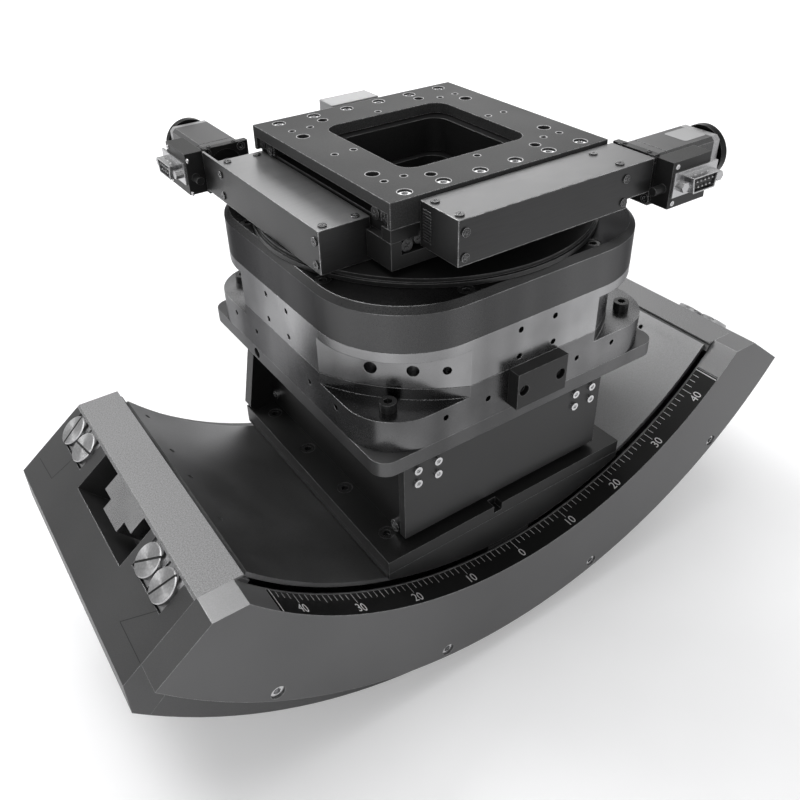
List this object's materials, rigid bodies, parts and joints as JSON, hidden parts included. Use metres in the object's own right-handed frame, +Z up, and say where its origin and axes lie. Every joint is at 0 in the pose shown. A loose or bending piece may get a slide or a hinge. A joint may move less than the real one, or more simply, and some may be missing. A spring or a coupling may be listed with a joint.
{
  "type": "five-axis motorized stage",
  "caption": "Motorized positioning stage stack: tilting swivel cradle, lift, rotary table and crossed XY slides with a square through aperture.",
  "frame": {"origin": "centre of the flat foot's hole pattern, on the foot's underside", "axes": "+X along the chord of the swivel arc, +Z up along the lift and rotary axis, the graduated face towards -Y"},
  "size_m": [0.446, 0.247, 0.2912],
  "materials": {
    "black_anodised": "satin black anodised",
    "blasted_grey": "coarse bead-blasted grey anodised",
    "box_silver": "bead-blasted silver case",
    "bright_steel": "turned and ground steel",
    "bronze": "dark bronze",
    "brushed_cover": "brushed dark anodised sheet",
    "cover_black": "matte black sheet",
    "dark_steel": "black oxide steel",
    "graphite_anodised": "fine bead-blasted grey anodised",
    "machined_silver": "machined, fine feed marks",
    "motor_black": "satin black motor case",
    "nickel_steel": "nickel plated steel",
    "plug_metal": "tin plated shell",
    "scale_black": "black, engraved marks filled white"
  },
  "bodies": {
    "base": {"arc_body": "graphite_anodised", "end_plate_left": "graphite_anodised", "end_plate_right": "graphite_anodised", "scale_ring": "graphite_anodised", "scale_strip": "scale_black", "arc_cover": "cover_black", "land_bar_left": "blasted_grey", "land_bar_right": "blasted_grey", "guide_rails": "bright_steel", "rail_end_screws": "bright_steel", "gear_sector": "bright_steel", "ring_screws": "dark_steel"},
    "carriage": {"saddle": "black_anodised", "guide_shoes": "bright_steel", "flange_plate": "black_anodised", "pedestal_box": "black_anodised", "front_plate": "black_anodised", "back_plate": "black_anodised", "adapter_plate": "black_anodised", "lift_base": "machined_silver", "lift_stop_block": "black_anodised", "swivel_motor": "motor_black", "lift_motor": "motor_black", "flange_screws": "dark_steel", "front_plate_screws": "nickel_steel", "side_screws": "nickel_steel", "lift_base_screws": "dark_steel"},
    "swivel_shaft": {"swivel_shaft": "bright_steel"},
    "lift_shaft": {"lift_shaft": "bright_steel"},
    "lift_screw": {"lift_screw": "bright_steel"},
    "lift": {"lift_table": "machined_silver", "rotary_housing": "black_anodised", "housing_screws": "dark_steel", "rotary_motor": "motor_black"},
    "rotary_worm": {"rotary_worm": "bright_steel"},
    "rotor": {"rotary_disc": "black_anodised", "lower_block": "graphite_anodised", "lower_rails": "bright_steel", "y_drive_cover": "brushed_cover", "y_cover_screws": "dark_steel", "y_drive_bracket": "black_anodised", "y_motor": "motor_black", "y_plug_box": "black_anodised", "y_plug": "plug_metal"},
    "y_lead_screw": {"y_lead_screw": "bright_steel"},
    "middle": {"middle_plate": "graphite_anodised", "middle_rails": "bright_steel", "x_drive_cover": "brushed_cover", "x_cover_screws": "dark_steel", "x_drive_bracket": "black_anodised", "x_motor": "motor_black", "x_plug_box": "black_anodised", "x_plug": "plug_metal", "limit_box": "box_silver", "y_lead_nut": "bronze"},
    "x_lead_screw": {"x_lead_screw": "bright_steel"},
    "top": {"top_plate": "black_anodised", "top_rails": "bright_steel", "top_plate_screws": "nickel_steel", "x_lead_nut": "bronze"}
  },
  "joints": [
    {"name": "swivel", "type": "hinge", "parent": "base", "child": "carriage", "pos_m": [0, 0, 0.285], "axis": [0, 1, 0], "range_deg": [-43, 43]},
    {"name": "lift", "type": "slide", "parent": "carriage", "child": "lift", "axis": [0, 0, 1], "range_m": [0, 0.01]},
    {"name": "rotary", "type": "hinge", "parent": "lift", "child": "rotor", "pos_m": [0, 0, 0.2506], "axis": [0, 0, 1], "continuous": true},
    {"name": "y_slide", "type": "slide", "parent": "rotor", "child": "middle", "axis": [0, 1, 0], "range_m": [-0.0125, 0.0125]},
    {"name": "x_slide", "type": "slide", "parent": "middle", "child": "top", "axis": [1, 0, 0], "range_m": [-0.0125, 0.0125]},
    {"name": "swivel_shaft_spin", "type": "hinge", "parent": "carriage", "child": "swivel_shaft", "pos_m": [0, 0.09, 0.136], "axis": [0, 1, 0], "continuous": true},
    {"name": "lift_shaft_spin", "type": "hinge", "parent": "carriage", "child": "lift_shaft", "pos_m": [0, 0.09, 0.19], "axis": [0, 1, 0], "continuous": true},
    {"name": "lift_screw_spin", "type": "hinge", "parent": "carriage", "child": "lift_screw", "pos_m": [0, 0, 0.19], "axis": [0, 0, 1], "continuous": true},
    {"name": "rotary_worm_spin", "type": "hinge", "parent": "lift", "child": "rotary_worm", "pos_m": [0.062, 0, 0.239], "axis": [0, 1, 0], "continuous": true},
    {"name": "y_screw_spin", "type": "hinge", "parent": "rotor", "child": "y_lead_screw", "pos_m": [-0.0755, 0, 0.26495], "axis": [0, 1, 0], "continuous": true},
    {"name": "x_screw_spin", "type": "hinge", "parent": "middle", "child": "x_lead_screw", "pos_m": [0, -0.08, 0.27745], "axis": [1, 0, 0], "continuous": true}
  ],
  "couplings": [
    {"joint": "swivel_shaft_spin", "follows": "swivel", "ratio": 120},
    {"joint": "lift_shaft_spin", "follows": "lift", "rad_per_m": 6283.2},
    {"joint": "lift_screw_spin", "follows": "lift", "rad_per_m": 1570.8},
    {"joint": "rotary_worm_spin", "follows": "rotary", "ratio": 90},
    {"joint": "y_screw_spin", "follows": "y_slide", "rad_per_m": 1256.6},
    {"joint": "x_screw_spin", "follows": "x_slide", "rad_per_m": 1256.6}
  ]
}
